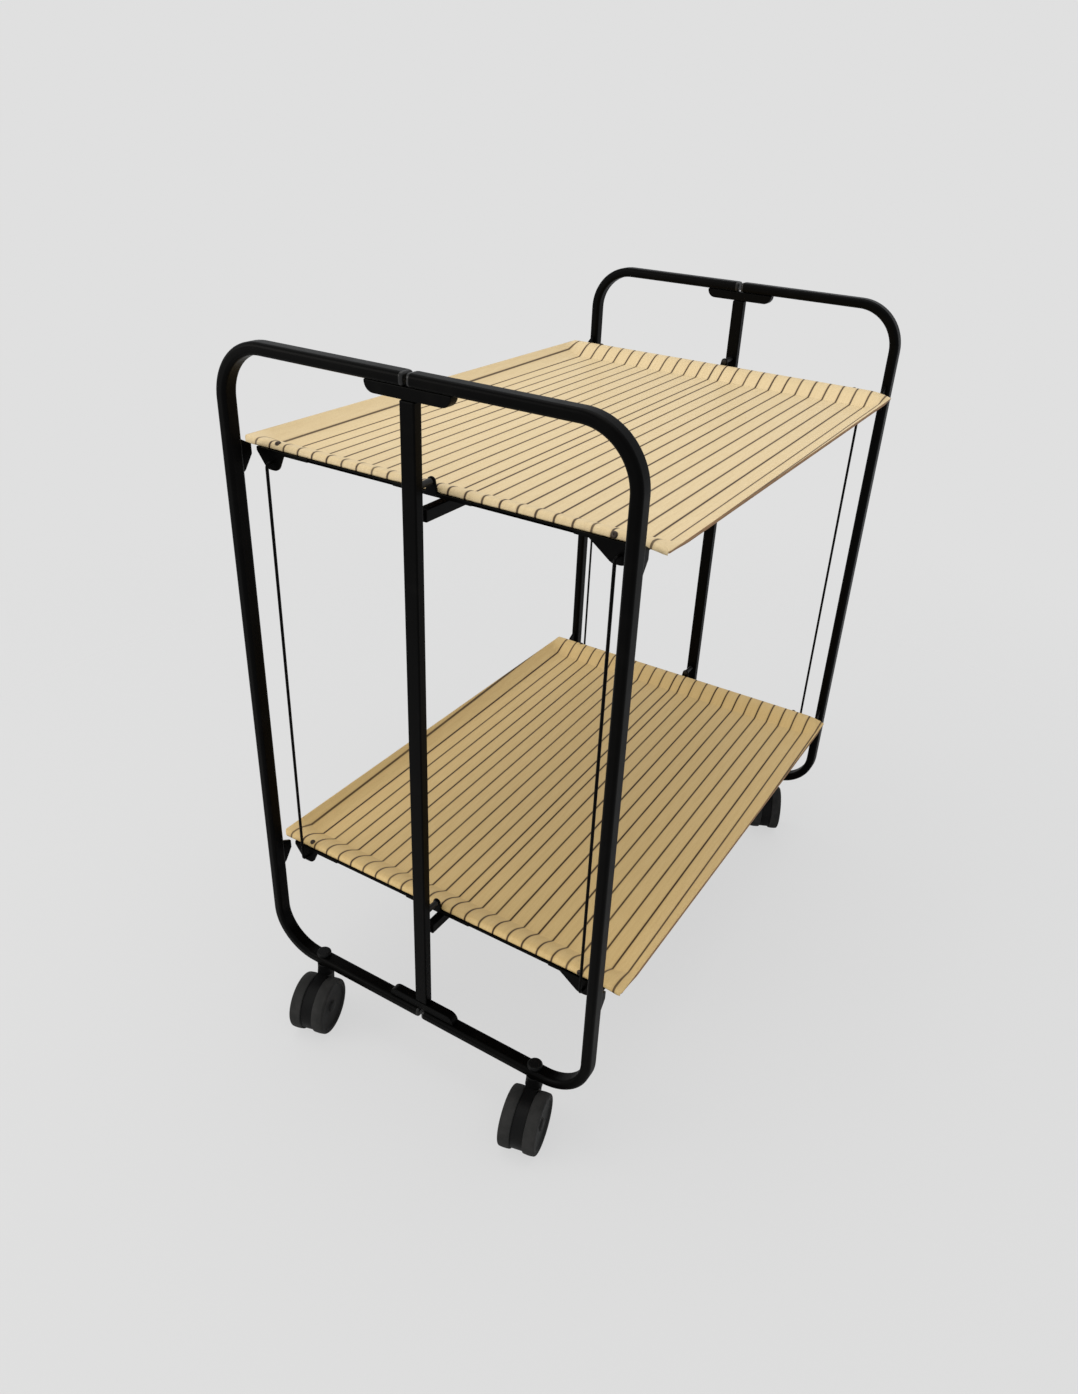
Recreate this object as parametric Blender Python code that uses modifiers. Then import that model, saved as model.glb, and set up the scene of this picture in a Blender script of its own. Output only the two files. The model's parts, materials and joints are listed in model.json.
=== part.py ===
# Folding serving trolley, in metres, +Z up, trays level and end frames open.
# Two upright end frames of bent tube stand on twin-wheel casters. Each frame is
# two half frames hinged to a centre post. Two trays tip about pins on the posts,
# and link rods make them tip together.
import math

import bmesh
import bpy
from mathutils import Matrix

# Driving dimensions of the end frames
FRAME_SPACING = 0.650
TUBE_SPACING = 0.398
FRAME_HEIGHT = 0.664
BEND_RADIUS = 0.0485
TUBE_DEPTH = 0.016
TUBE_WIDTH = 0.011
TUBE_CORNER = 0.0037
TUBE_WALL = 0.0015
TUBE_END_SPACING = 0.010

# Driving dimensions of the centre posts and hinge blocks
POST_WIDTH = 0.0145
POST_DEPTH = 0.010
POST_CORNER = 0.0015
BLOCK_LENGTH = 0.083
BLOCK_DEPTH = 0.010
BLOCK_HEIGHT = 0.010
BLOCK_CORNER = 0.009
HINGE_SPACING = 0.066
HINGE_PIN_RADIUS = 0.003
HINGE_PIN_SEAT = 0.008

# Driving dimensions of the casters
WHEEL_RADIUS = 0.031
WHEEL_WIDTH = 0.013
WHEEL_GROOVE = 0.0134
WHEEL_CHAMFER = 0.001
WHEEL_DISH_DEPTH = 0.002
WHEEL_RIM = 0.0045
HUB_RADIUS = 0.0065
WHEEL_HEADROOM = 0.011
CASTER_TRAIL = 0.023
STEM_FROM_BEND = 0.0105
STEM_RADIUS = 0.004
NECK_RADIUS = 0.00825
NECK_FOOT_RADIUS = 0.009
NECK_CLEARANCE = 0.0008
CORE_INSET = 0.002
AXLE_RADIUS = 0.0025
AXLE_COVER = 0.0035
CAP_RADIUS = 0.0080
CAP_HEIGHT = 0.0042
CASTER_HEADINGS = {
    ("near", "left"): 15.6,
    ("near", "right"): 12.9,
    ("far", "left"): 168.0,
    ("far", "right"): 25.0,
}

# Driving dimensions of the trays
TRAY_END_INSET = 0.0265
TRAY_OVERHANG = 0.0147
TRAY_THICKNESS = 0.0025
TRAY_CORNER = 0.005
TRAY_DROP = 0.1014
TRAY_SPACING = 0.445
RIM_RISE = 0.012
TRAY_DEPTH = 0.0135
ROLL_RADIUS = 0.0045
ROLL_LIP = 0.0065
ROLL_RUN = 0.029
ROLL_EASE = 1.15
SIDE_RUN = 0.028
PIVOT_RISE = 0.0155

# Driving dimensions of what carries the trays
PIVOT_PIN_RADIUS = 0.0018
PIVOT_COLLAR_RADIUS = 0.003
PIVOT_PIN_SEAT = 0.007
RAIL_WIDTH = 0.009
RAIL_HEIGHT = 0.0115
RAIL_END_INSET = 0.012
BAR_END_INSET = 0.0177
BAR_RISE = 0.003
BAR_INSET = 0.0003
BAR_WEB = 0.002
BAR_FLANGE = 0.0168
PLATE_THICKNESS = 0.0022
PLATE_LAP = 0.001
PLATE_BAND = 0.0034
EAR_RADIUS = 0.004
EAR_FOOT_HALF = 0.0058
EAR_BAND_HALF = 0.040
LUG_END_INSET = 0.0205
LUG_DROP = 0.0069
LUG_TIP_RADIUS = 0.0085
LUG_LONG_SLOPE = 0.0195
LUG_SHORT_SLOPE = 0.0125
LUG_BAND_INNER = 0.041
LUG_BAND_OUTER = 0.020
ROD_RADIUS = 0.0015
ROD_INSET = 0.016
ROD_BEND_RADIUS = 0.004
ROD_HOOK_PAST = 0.0035
REST_THICKNESS = 0.003
REST_REACH = 0.013
REST_ABOVE = 0.0154
REST_BELOW = 0.0146
REST_TIP_RADIUS = 0.005
REST_SHOULDER = 0.004

# Clearances: between touching pieces, and the overrun of every cutter
SEAT_GAP = 0.0003
OVERRUN = 0.002
WELD_DISTANCE = 0.00001

# Numbers of facets
WHEEL_SIDES = 24
PIN_SIDES = 16
BEND_STEPS = 5
SECTION_STEPS = 2
ARC_STEPS = 6
WAVE_STEPS = 5

# Places worked out from the sizes above
FRAME_HALF = FRAME_SPACING / 2
TUBE_HALF = TUBE_SPACING / 2
BOTTOM_Z = 2 * WHEEL_RADIUS + WHEEL_HEADROOM + TUBE_WIDTH / 2
TOP_Z = BOTTOM_Z + FRAME_HEIGHT
HINGE_Y = HINGE_SPACING / 2
STEM_Y = TUBE_HALF - BEND_RADIUS - STEM_FROM_BEND
UPPER_TRAY_Z = TOP_Z - TRAY_DROP
LOWER_TRAY_Z = UPPER_TRAY_Z - TRAY_SPACING
TRAY_LENGTH = FRAME_SPACING - 2 * TRAY_END_INSET
TRAY_WIDTH = TUBE_SPACING + 2 * TRAY_OVERHANG
TRAY_FLOOR = RIM_RISE - TRAY_DEPTH
PLATE_INNER = TRAY_END_INSET - SEAT_GAP
PLATE_OUTER = PLATE_INNER - PLATE_THICKNESS
BAR_HALF = TRAY_WIDTH / 2 - BAR_END_INSET
LUG_Y = BAR_HALF - LUG_END_INSET
LUG_HOLE_Z = BAR_RISE - LUG_DROP
WHEEL_INNER = WHEEL_GROOVE / 2
WHEEL_OUTER = WHEEL_INNER + WHEEL_WIDTH

ENDS = {"near": -1, "far": 1}
SIDES = {"left": 1, "right": -1}
LEVELS = {"upper": UPPER_TRAY_Z, "lower": LOWER_TRAY_Z}

# Directions that a drawn outline's own X, Y and Z take
ACROSS_FRAME = Matrix(((0, 0, 1), (1, 0, 0), (0, 1, 0))).to_4x4()
ALONG_TROLLEY = Matrix(((1, 0, 0), (0, 0, -1), (0, 1, 0))).to_4x4()
UPRIGHT = Matrix.Identity(4)


for old in list(bpy.data.objects):
    bpy.data.objects.remove(old, do_unlink=True)

parts = bpy.data.collections.new("folding_serving_trolley")
cutters = bpy.data.collections.new("cutters")
bpy.context.scene.collection.children.link(parts)
bpy.context.scene.collection.children.link(cutters)


def material(name, colour, roughness, metallic):
    made = bpy.data.materials.new(name)
    made.use_nodes = True
    shader = made.node_tree.nodes["Principled BSDF"]
    shader.inputs["Base Color"].default_value = (*colour, 1)
    shader.inputs["Roughness"].default_value = roughness
    shader.inputs["Metallic"].default_value = metallic
    made.diffuse_color = (*colour, 1)
    return made


def tool_object(name, data):
    """A cutter, guide or master shape, which isn't part of the trolley."""
    made = bpy.data.objects.new(name, data)
    made.hide_render = True
    made.display_type = "WIRE"
    cutters.objects.link(made)
    return made


def mesh_of(shape):
    """The evaluated mesh of a curve or modified object, welded; the object goes."""
    bpy.context.view_layer.update()
    graph = bpy.context.evaluated_depsgraph_get()
    mesh = bpy.data.meshes.new_from_object(shape.evaluated_get(graph))
    welded = bmesh.new()
    welded.from_mesh(mesh)
    bmesh.ops.remove_doubles(welded, verts=welded.verts, dist=WELD_DISTANCE)
    bmesh.ops.transform(welded, matrix=shape.matrix_world, verts=welded.verts)
    bmesh.ops.recalc_face_normals(welded, faces=welded.faces)
    welded.to_mesh(mesh)
    welded.free()
    bpy.data.objects.remove(shape, do_unlink=True)
    return mesh


def outline_mesh(name, points, thickness, facing):
    """A flat outline given thickness, centred on its own plane."""
    curve = bpy.data.curves.new(name, "CURVE")
    curve.dimensions = "2D"
    curve.fill_mode = "BOTH"
    curve.extrude = thickness / 2
    spline = curve.splines.new("POLY")
    spline.points.add(len(points) - 1)
    for point, (across, up) in zip(spline.points, points):
        point.co = (across, up, 0, 1)
    spline.use_cyclic_u = True
    shape = tool_object(name, curve)
    shape.matrix_world = facing
    return mesh_of(shape)


def cylinder_mesh(name, radius, low, high, sides, facing=UPRIGHT, centre=(0, 0, 0)):
    """A cylinder from low to high along the facing's own Z."""
    made = bmesh.new()
    bmesh.ops.create_cone(
        made, cap_ends=True, segments=sides, radius1=radius, radius2=radius, depth=high - low,
        matrix=Matrix.Translation(centre) @ facing @ Matrix.Translation((0, 0, (low + high) / 2)),
    )
    mesh = bpy.data.meshes.new(name)
    made.to_mesh(mesh)
    made.free()
    return mesh


def box_mesh(name, low, high):
    """A box between two corners."""
    size = [top - bottom for bottom, top in zip(low, high)]
    middle = [(top + bottom) / 2 for bottom, top in zip(low, high)]
    made = bmesh.new()
    bmesh.ops.create_cube(made, size=1, matrix=Matrix.Translation(middle) @ Matrix.Diagonal((*size, 1)))
    mesh = bpy.data.meshes.new(name)
    made.to_mesh(mesh)
    made.free()
    return mesh


def turned_mesh(name, profile, sides, facing=UPRIGHT):
    """A profile of radius and height, down its outer side, turned about Z."""
    mesh = bpy.data.meshes.new(name)
    vertices = [(radius, 0, height) for radius, height in profile]
    mesh.from_pydata(vertices, [(i, i + 1) for i in range(len(profile) - 1)], [])
    shape = tool_object(name, mesh)
    shape.matrix_world = facing @ Matrix.Rotation(math.pi / sides, 4, "Z")
    screw = shape.modifiers.new("turn", "SCREW")
    screw.axis = "Z"
    screw.angle = 2 * math.pi
    screw.steps = sides
    screw.render_steps = sides
    screw.use_merge_vertices = True
    screw.merge_threshold = WELD_DISTANCE
    return mesh_of(shape)


def combined(name, base, steps):
    """A base mesh with other meshes joined to it or cut from it, in order."""
    shape = tool_object(name, base)
    helpers = []
    for operation, mesh in steps:
        helper = tool_object(f"{name}_{operation.lower()}", mesh)
        change = shape.modifiers.new(operation.lower(), "BOOLEAN")
        change.operation = operation
        change.solver = "EXACT"
        change.object = helper
        helpers.append(helper)
    mesh = mesh_of(shape)
    for helper in helpers:
        bpy.data.objects.remove(helper, do_unlink=True)
    return mesh


def arc(centre, radius, start, end, steps):
    """Points on an arc, both ends included, with angles in degrees."""
    angles = [math.radians(start + (end - start) * i / steps) for i in range(steps + 1)]
    return [(centre[0] + radius * math.cos(a), centre[1] + radius * math.sin(a)) for a in angles]


def frame_at(name, parent, place, turn=0):
    """An empty that carries one moving body, set on its joint's axis."""
    empty = bpy.data.objects.new(name, None)
    empty.empty_display_size = WHEEL_RADIUS
    empty.parent = parent
    empty.location = place
    empty.rotation_euler = (0, 0, turn)
    parts.objects.link(empty)
    return empty


def part(name, mesh, finish, parent, place=(0, 0, 0), turn=(0, 0, 0)):
    """One piece of the trolley, smooth where it is round."""
    made = bpy.data.objects.new(name, mesh)
    made.parent = parent
    made.location = place
    made.rotation_euler = turn
    parts.objects.link(made)
    mesh.materials.clear()
    mesh.materials.append(finish)
    mesh.shade_smooth()
    mesh.set_sharp_from_angle(angle=math.radians(31))
    return made


def half_frame_mesh():
    """Half an end frame: a C of tube, open at both ends, hinged at y = 0."""
    start = TUBE_END_SPACING / 2 - HINGE_Y
    side = TUBE_HALF - HINGE_Y
    inner = side - BEND_RADIUS
    points = [(start, TOP_Z)]
    points += arc((inner, TOP_Z - BEND_RADIUS), BEND_RADIUS, 90, 0, BEND_STEPS)
    points += arc((inner, BOTTOM_Z + BEND_RADIUS), BEND_RADIUS, 0, -90, BEND_STEPS)
    points.append((start, BOTTOM_Z))
    corner_x = TUBE_WIDTH / 2 - TUBE_CORNER
    corner_y = TUBE_DEPTH / 2 - TUBE_CORNER
    section_points = []
    for quarter, (sx, sy) in enumerate(((1, 1), (-1, 1), (-1, -1), (1, -1))):
        centre = (sx * corner_x, sy * corner_y)
        section_points += arc(centre, TUBE_CORNER, 90 * quarter, 90 * quarter + 90, SECTION_STEPS)
    section = bpy.data.curves.new("tube_section", "CURVE")
    section.dimensions = "2D"
    ring = section.splines.new("POLY")
    ring.points.add(len(section_points) - 1)
    for point, (across, up) in zip(ring.points, section_points):
        point.co = (across, up, 0, 1)
    ring.use_cyclic_u = True
    section_shape = tool_object("tube_section", section)
    path = bpy.data.curves.new("tube_path", "CURVE")
    path.dimensions = "2D"
    path.bevel_mode = "OBJECT"
    path.bevel_object = section_shape
    spline = path.splines.new("POLY")
    spline.points.add(len(points) - 1)
    for point, (across, up) in zip(spline.points, points):
        point.co = (across, up, 0, 1)
    tube = tool_object("tube_path", path)
    tube.matrix_world = ACROSS_FRAME
    open_tube = tool_object("open_tube", mesh_of(tube))
    bpy.data.objects.remove(section_shape, do_unlink=True)
    wall = open_tube.modifiers.new("wall", "SOLIDIFY")
    wall.thickness = TUBE_WALL
    wall.offset = -1
    hollow = mesh_of(open_tube)
    hole = HINGE_PIN_RADIUS + SEAT_GAP
    reach = TUBE_WIDTH / 2 + OVERRUN
    steps = [
        ("DIFFERENCE", cylinder_mesh("pin_hole", hole, z - reach, z + reach, PIN_SIDES))
        for z in (TOP_Z, BOTTOM_Z)
    ]
    stem = cylinder_mesh(
        "stem_hole", STEM_RADIUS + SEAT_GAP, BOTTOM_Z - reach, BOTTOM_Z + reach, PIN_SIDES,
        centre=(0, STEM_Y - HINGE_Y, 0),
    )
    steps.append(("DIFFERENCE", stem))
    return combined("half_frame", hollow, steps)


def post_mesh():
    """A post between the hinge blocks, with a blind hole for each pivot pin at +X."""
    block_room = TUBE_WIDTH / 2 + BLOCK_HEIGHT + 2 * SEAT_GAP
    low = BOTTOM_Z + block_room
    high = TOP_Z - block_room
    half_depth = POST_DEPTH / 2
    half_width = POST_WIDTH / 2
    corners = (-half_depth, -half_width, low), (half_depth, half_width, high)
    shape = tool_object("post", box_mesh("post", *corners))
    rounding = shape.modifiers.new("rounding", "BEVEL")
    rounding.width = POST_CORNER
    rounding.segments = 2
    rounding.limit_method = "NONE"
    steps = []
    for tray_z in LEVELS.values():
        hole = cylinder_mesh(
            "pivot_hole", PIVOT_PIN_RADIUS + SEAT_GAP,
            half_depth - PIVOT_PIN_SEAT - SEAT_GAP, half_depth + OVERRUN, PIN_SIDES,
            ACROSS_FRAME, (0, 0, tray_z + PIVOT_RISE),
        )
        steps.append(("DIFFERENCE", hole))
    return combined("post", mesh_of(shape), steps)


def hinge_block_mesh():
    """A block against the tube ends, its tube face at z = 0 and its body below."""
    half = BLOCK_LENGTH / 2
    corner = half - BLOCK_CORNER
    points = [(-half, 0)]
    points += arc((-corner, BLOCK_CORNER - BLOCK_HEIGHT), BLOCK_CORNER, 180, 270, ARC_STEPS)
    points += arc((corner, BLOCK_CORNER - BLOCK_HEIGHT), BLOCK_CORNER, 270, 360, ARC_STEPS)
    points.append((half, 0))
    body = outline_mesh("block", points, BLOCK_DEPTH, ACROSS_FRAME)
    steps = []
    for side in SIDES.values():
        hole = cylinder_mesh(
            "pin_seat", HINGE_PIN_RADIUS + SEAT_GAP, -HINGE_PIN_SEAT - SEAT_GAP, OVERRUN, PIN_SIDES,
            centre=(0, side * HINGE_Y, 0),
        )
        steps.append(("DIFFERENCE", hole))
    return combined("hinge_block", body, steps)


def pivot_pin_mesh():
    """A shouldered pin from the post's hole through the tray's ear, along +X."""
    seat = POST_DEPTH / 2 - PIVOT_PIN_SEAT
    collar_start = POST_DEPTH / 2 + SEAT_GAP
    collar_end = PLATE_OUTER - SEAT_GAP
    profile = [
        (0, PLATE_INNER),
        (PIVOT_PIN_RADIUS, PLATE_INNER),
        (PIVOT_PIN_RADIUS, collar_end),
        (PIVOT_COLLAR_RADIUS, collar_end),
        (PIVOT_COLLAR_RADIUS, collar_start),
        (PIVOT_PIN_RADIUS, collar_start),
        (PIVOT_PIN_RADIUS, seat),
        (0, seat),
    ]
    return turned_mesh("pivot_pin", profile, PIN_SIDES, ACROSS_FRAME)


def rest_mesh():
    """A plate on a side tube's inner face, widest at its shoulder, ends rounded."""
    near = TUBE_DEPTH / 2 + SEAT_GAP
    far = TUBE_DEPTH / 2 + REST_REACH
    points = arc((near, REST_ABOVE - REST_TIP_RADIUS), REST_TIP_RADIUS, 90, 30, ARC_STEPS // 2)
    points += [(far, REST_SHOULDER), (far, 0)]
    points += arc((near, REST_TIP_RADIUS - REST_BELOW), REST_TIP_RADIUS, -20, -90, ARC_STEPS // 2)
    return outline_mesh("rest", points, REST_THICKNESS, ALONG_TROLLEY)


def tray_mesh():
    """A thin tray: ends rolled up and over, long sides swept up to the same rim."""
    ends = [(0, ROLL_LIP - TRAY_FLOOR)]
    for across, up in arc((ROLL_RADIUS, TRAY_DEPTH - ROLL_RADIUS), ROLL_RADIUS, 180, 90, ARC_STEPS // 2):
        ends.append((across, up))
    for i in range(1, WAVE_STEPS + 1):
        share = i / WAVE_STEPS
        rise = TRAY_DEPTH * max(0, math.cos(math.pi / 2 * share)) ** ROLL_EASE
        ends.append((ROLL_RADIUS + ROLL_RUN * share, rise))
    sides = [TRAY_CORNER * i / 2 for i in range(2)]
    sides += [TRAY_CORNER + (SIDE_RUN - TRAY_CORNER) * i / WAVE_STEPS for i in range(WAVE_STEPS + 1)]
    long_way = [(-TRAY_LENGTH / 2 + in_x, in_x, rise) for in_x, rise in ends]
    long_way += [(TRAY_LENGTH / 2 - in_x, in_x, rise) for in_x, rise in reversed(ends)]
    short_way = [(-TRAY_WIDTH / 2 + in_y, in_y) for in_y in sides]
    short_way += [(TRAY_WIDTH / 2 - in_y, in_y) for in_y in reversed(sides)]
    columns = len(long_way)
    rows = len(short_way)
    sheet = bmesh.new()
    bmesh.ops.create_grid(sheet, x_segments=columns - 1, y_segments=rows - 1, size=1)
    for vertex in sheet.verts:
        column = round((vertex.co.x + 1) / 2 * (columns - 1))
        row = round((vertex.co.y + 1) / 2 * (rows - 1))
        x, in_x, end_rise = long_way[column]
        y, in_y = short_way[row]
        side_rise = TRAY_DEPTH * max(0, 1 - in_y / SIDE_RUN) ** 2
        corner_x = max(0, TRAY_CORNER - in_x)
        corner_y = max(0, TRAY_CORNER - in_y)
        if corner_x and corner_y:
            pull = max(corner_x, corner_y) / math.hypot(corner_x, corner_y)
            x -= math.copysign(corner_x * (1 - pull), x)
            y -= math.copysign(corner_y * (1 - pull), y)
        rise = end_rise + side_rise * (1 - end_rise / TRAY_DEPTH)
        vertex.co = (x, y, TRAY_FLOOR + rise)
    mesh = bpy.data.meshes.new("tray")
    sheet.to_mesh(mesh)
    sheet.free()
    shape = tool_object("tray", mesh)
    thickness = shape.modifiers.new("thickness", "SOLIDIFY")
    thickness.thickness = TRAY_THICKNESS
    thickness.offset = -1
    thickness.use_even_offset = True
    return mesh_of(shape)


def lug_slope(half):
    """The angle of a lug's straight edge, from the bar's underside to its round tip."""
    return math.degrees(math.atan2(LUG_DROP, half) + math.asin(LUG_TIP_RADIUS / math.hypot(half, LUG_DROP)))


def end_bar_mesh():
    """A rolled bar under a tray's end, with the pivot ear and two rod lugs."""
    lip_inner = TRAY_END_INSET + TRAY_THICKNESS + SEAT_GAP
    toe_top = ROLL_LIP - SEAT_GAP
    underside = BAR_RISE + BAR_INSET
    profile = [
        (PLATE_INNER - PLATE_LAP, underside),
        (PLATE_INNER - PLATE_LAP + BAR_FLANGE, underside),
        (PLATE_INNER - PLATE_LAP + BAR_FLANGE, underside + BAR_WEB),
        (lip_inner + BAR_WEB, underside + BAR_WEB),
        (lip_inner + BAR_WEB, toe_top),
        (PLATE_INNER - PLATE_LAP, toe_top),
    ]
    bar = outline_mesh("bar", profile, 2 * BAR_HALF, ALONG_TROLLEY)
    band_top = BAR_RISE + PLATE_BAND
    ear = [(EAR_BAND_HALF, BAR_RISE), (EAR_BAND_HALF, band_top), (EAR_FOOT_HALF, band_top)]
    ear += arc((0, PIVOT_RISE), EAR_RADIUS, 0, 180, ARC_STEPS)
    ear += [(-EAR_FOOT_HALF, band_top), (-EAR_BAND_HALF, band_top), (-EAR_BAND_HALF, BAR_RISE)]
    shift = Matrix.Translation((PLATE_INNER - PLATE_THICKNESS / 2, 0, 0))
    steps = [("UNION", outline_mesh("ear", ear, PLATE_THICKNESS, shift @ ACROSS_FRAME))]
    pin_hole = cylinder_mesh(
        "ear_hole", PIVOT_PIN_RADIUS + SEAT_GAP, PLATE_OUTER - OVERRUN, PLATE_INNER + OVERRUN,
        PIN_SIDES, ACROSS_FRAME, (0, 0, PIVOT_RISE),
    )
    for side in SIDES.values():
        low_end = -LUG_BAND_INNER if side > 0 else -LUG_BAND_OUTER
        high_end = LUG_LONG_SLOPE if side > 0 else LUG_BAND_INNER
        lug = [(low_end, band_top), (low_end, BAR_RISE), (-LUG_SHORT_SLOPE, BAR_RISE)]
        lug += arc(
            (0, LUG_HOLE_Z), LUG_TIP_RADIUS, 270 - lug_slope(LUG_SHORT_SLOPE), 270 + lug_slope(LUG_LONG_SLOPE),
            ARC_STEPS,
        )
        lug.append((LUG_LONG_SLOPE, BAR_RISE))
        if high_end > LUG_LONG_SLOPE:
            lug.append((high_end, BAR_RISE))
        lug.append((high_end, band_top))
        placed = [(side * LUG_Y + across, up) for across, up in lug]
        steps.append(("UNION", outline_mesh("lug", placed, PLATE_THICKNESS, shift @ ACROSS_FRAME)))
        rod_hole = cylinder_mesh(
            "rod_hole", ROD_RADIUS + SEAT_GAP, PLATE_OUTER - OVERRUN, PLATE_INNER + OVERRUN,
            PIN_SIDES, ACROSS_FRAME, (0, side * LUG_Y, LUG_HOLE_Z),
        )
        steps.append(("DIFFERENCE", rod_hole))
    steps.append(("DIFFERENCE", pin_hole))
    return combined("end_bar", bar, steps)


def link_rod_mesh():
    """A wire rod that hooks into a lug of each tray, its upper hook at z = 0."""
    hook_end = PLATE_INNER + ROD_HOOK_PAST
    bend = ROD_INSET + ROD_BEND_RADIUS
    points = [(hook_end, 0)]
    points += arc((bend, -ROD_BEND_RADIUS), ROD_BEND_RADIUS, 90, 180, ARC_STEPS // 2)
    points += arc((bend, ROD_BEND_RADIUS - TRAY_SPACING), ROD_BEND_RADIUS, 180, 270, ARC_STEPS // 2)
    points.append((hook_end, -TRAY_SPACING))
    curve = bpy.data.curves.new("link_rod", "CURVE")
    curve.dimensions = "3D"
    curve.bevel_depth = ROD_RADIUS
    curve.bevel_resolution = 2
    curve.use_fill_caps = True
    spline = curve.splines.new("POLY")
    spline.points.add(len(points) - 1)
    for point, (across, up) in zip(spline.points, points):
        point.co = (across, 0, up, 1)
    return mesh_of(tool_object("link_rod", curve))


def caster_body_mesh():
    """Stem, cap, neck and the round core between the wheels, on the stem's axis."""
    core_radius = WHEEL_RADIUS - CORE_INSET
    wheel_reach = WHEEL_RADIUS / math.cos(math.pi / WHEEL_SIDES)
    beside = CASTER_TRAIL - math.sqrt(max(0, NECK_FOOT_RADIUS ** 2 - WHEEL_INNER ** 2))
    neck_bottom = WHEEL_RADIUS + math.sqrt(wheel_reach ** 2 - beside ** 2) + NECK_CLEARANCE
    tube_under = BOTTOM_Z - TUBE_WIDTH / 2 - SEAT_GAP
    tube_over = BOTTOM_Z + TUBE_WIDTH / 2 + SEAT_GAP
    profile = []
    for i in range(ARC_STEPS // 2 + 1):
        turn = math.pi / 2 * i / (ARC_STEPS // 2)
        profile.append((CAP_RADIUS * math.sin(turn), tube_over + CAP_HEIGHT * math.cos(turn)))
    profile += [
        (STEM_RADIUS, tube_over),
        (STEM_RADIUS, tube_under),
        (NECK_RADIUS, tube_under),
        (NECK_RADIUS, (tube_under + neck_bottom) / 2),
        (NECK_FOOT_RADIUS, neck_bottom),
        (0, neck_bottom),
    ]
    turned = turned_mesh("caster_neck", profile, PIN_SIDES)
    root_z = neck_bottom + NECK_CLEARANCE
    tangents = []
    for corner, way in ((NECK_RADIUS, -1), (-NECK_RADIUS, 1)):
        run = corner + CASTER_TRAIL
        rise = root_z - WHEEL_RADIUS
        offset = math.acos(min(1, core_radius / math.hypot(run, rise)))
        tangents.append(math.degrees(math.atan2(rise, run) + way * offset))
    outline = [(-NECK_RADIUS, root_z), (NECK_RADIUS, root_z)]
    outline += arc((-CASTER_TRAIL, WHEEL_RADIUS), core_radius, tangents[0], tangents[1] - 360, 3 * ARC_STEPS)
    core = outline_mesh("caster_core", outline, WHEEL_GROOVE - 2 * SEAT_GAP, ALONG_TROLLEY)
    axle_hole = cylinder_mesh(
        "axle_hole", AXLE_RADIUS + SEAT_GAP, -WHEEL_OUTER, WHEEL_OUTER, PIN_SIDES,
        ALONG_TROLLEY, (-CASTER_TRAIL, 0, WHEEL_RADIUS),
    )
    return combined("caster_body", turned, [("UNION", core), ("DIFFERENCE", axle_hole)])


def wheel_mesh():
    """One wheel, its axis along Y through the origin, dished on its outer face."""
    rim = WHEEL_RADIUS / math.cos(math.pi / WHEEL_SIDES)
    rim_inner = rim - WHEEL_RIM
    dish = WHEEL_OUTER - WHEEL_DISH_DEPTH
    bore_end = WHEEL_OUTER - AXLE_COVER
    profile = [
        (0, WHEEL_OUTER),
        (HUB_RADIUS, WHEEL_OUTER),
        (HUB_RADIUS + WHEEL_CHAMFER, dish),
        (rim_inner - WHEEL_CHAMFER, dish),
        (rim_inner, WHEEL_OUTER),
        (rim - WHEEL_CHAMFER, WHEEL_OUTER),
        (rim, WHEEL_OUTER - WHEEL_CHAMFER),
        (rim, WHEEL_INNER),
        (AXLE_RADIUS + SEAT_GAP, WHEEL_INNER),
        (AXLE_RADIUS + SEAT_GAP, bore_end),
        (0, bore_end),
    ]
    return turned_mesh("wheel", profile, WHEEL_SIDES, Matrix.Rotation(-math.pi / 2, 4, "X"))


def caster_reach(heading):
    """How far a caster's wheels reach towards -X and +X from its stem."""
    turn = math.radians(heading)
    along = abs(math.cos(turn))
    aside = abs(math.sin(turn))
    spread = WHEEL_RADIUS * along + (WHEEL_OUTER - WHEEL_CHAMFER) * aside
    centre = -CASTER_TRAIL * math.cos(turn)
    return centre - spread, centre + spread


# The origin lies under the middle of the overall box, casters included
reach_near = min(caster_reach(CASTER_HEADINGS["near", side])[0] for side in SIDES)
reach_far = max(caster_reach(CASTER_HEADINGS["far", side])[1] for side in SIDES)
trolley = frame_at("trolley", None, (-(reach_near + reach_far) / 2, 0, 0))

black_steel = material("black_steel", (0.012, 0.012, 0.013), 0.38, 0)
bright_steel = material("bright_steel", (0.45, 0.45, 0.46), 0.3, 1)
tray_wood = material("tray_wood", (0.62, 0.45, 0.23), 0.42, 0)
wheel_grey = material("wheel_grey", (0.035, 0.035, 0.036), 0.6, 0)
core_black = material("core_black", (0.015, 0.015, 0.016), 0.5, 0)

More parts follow.
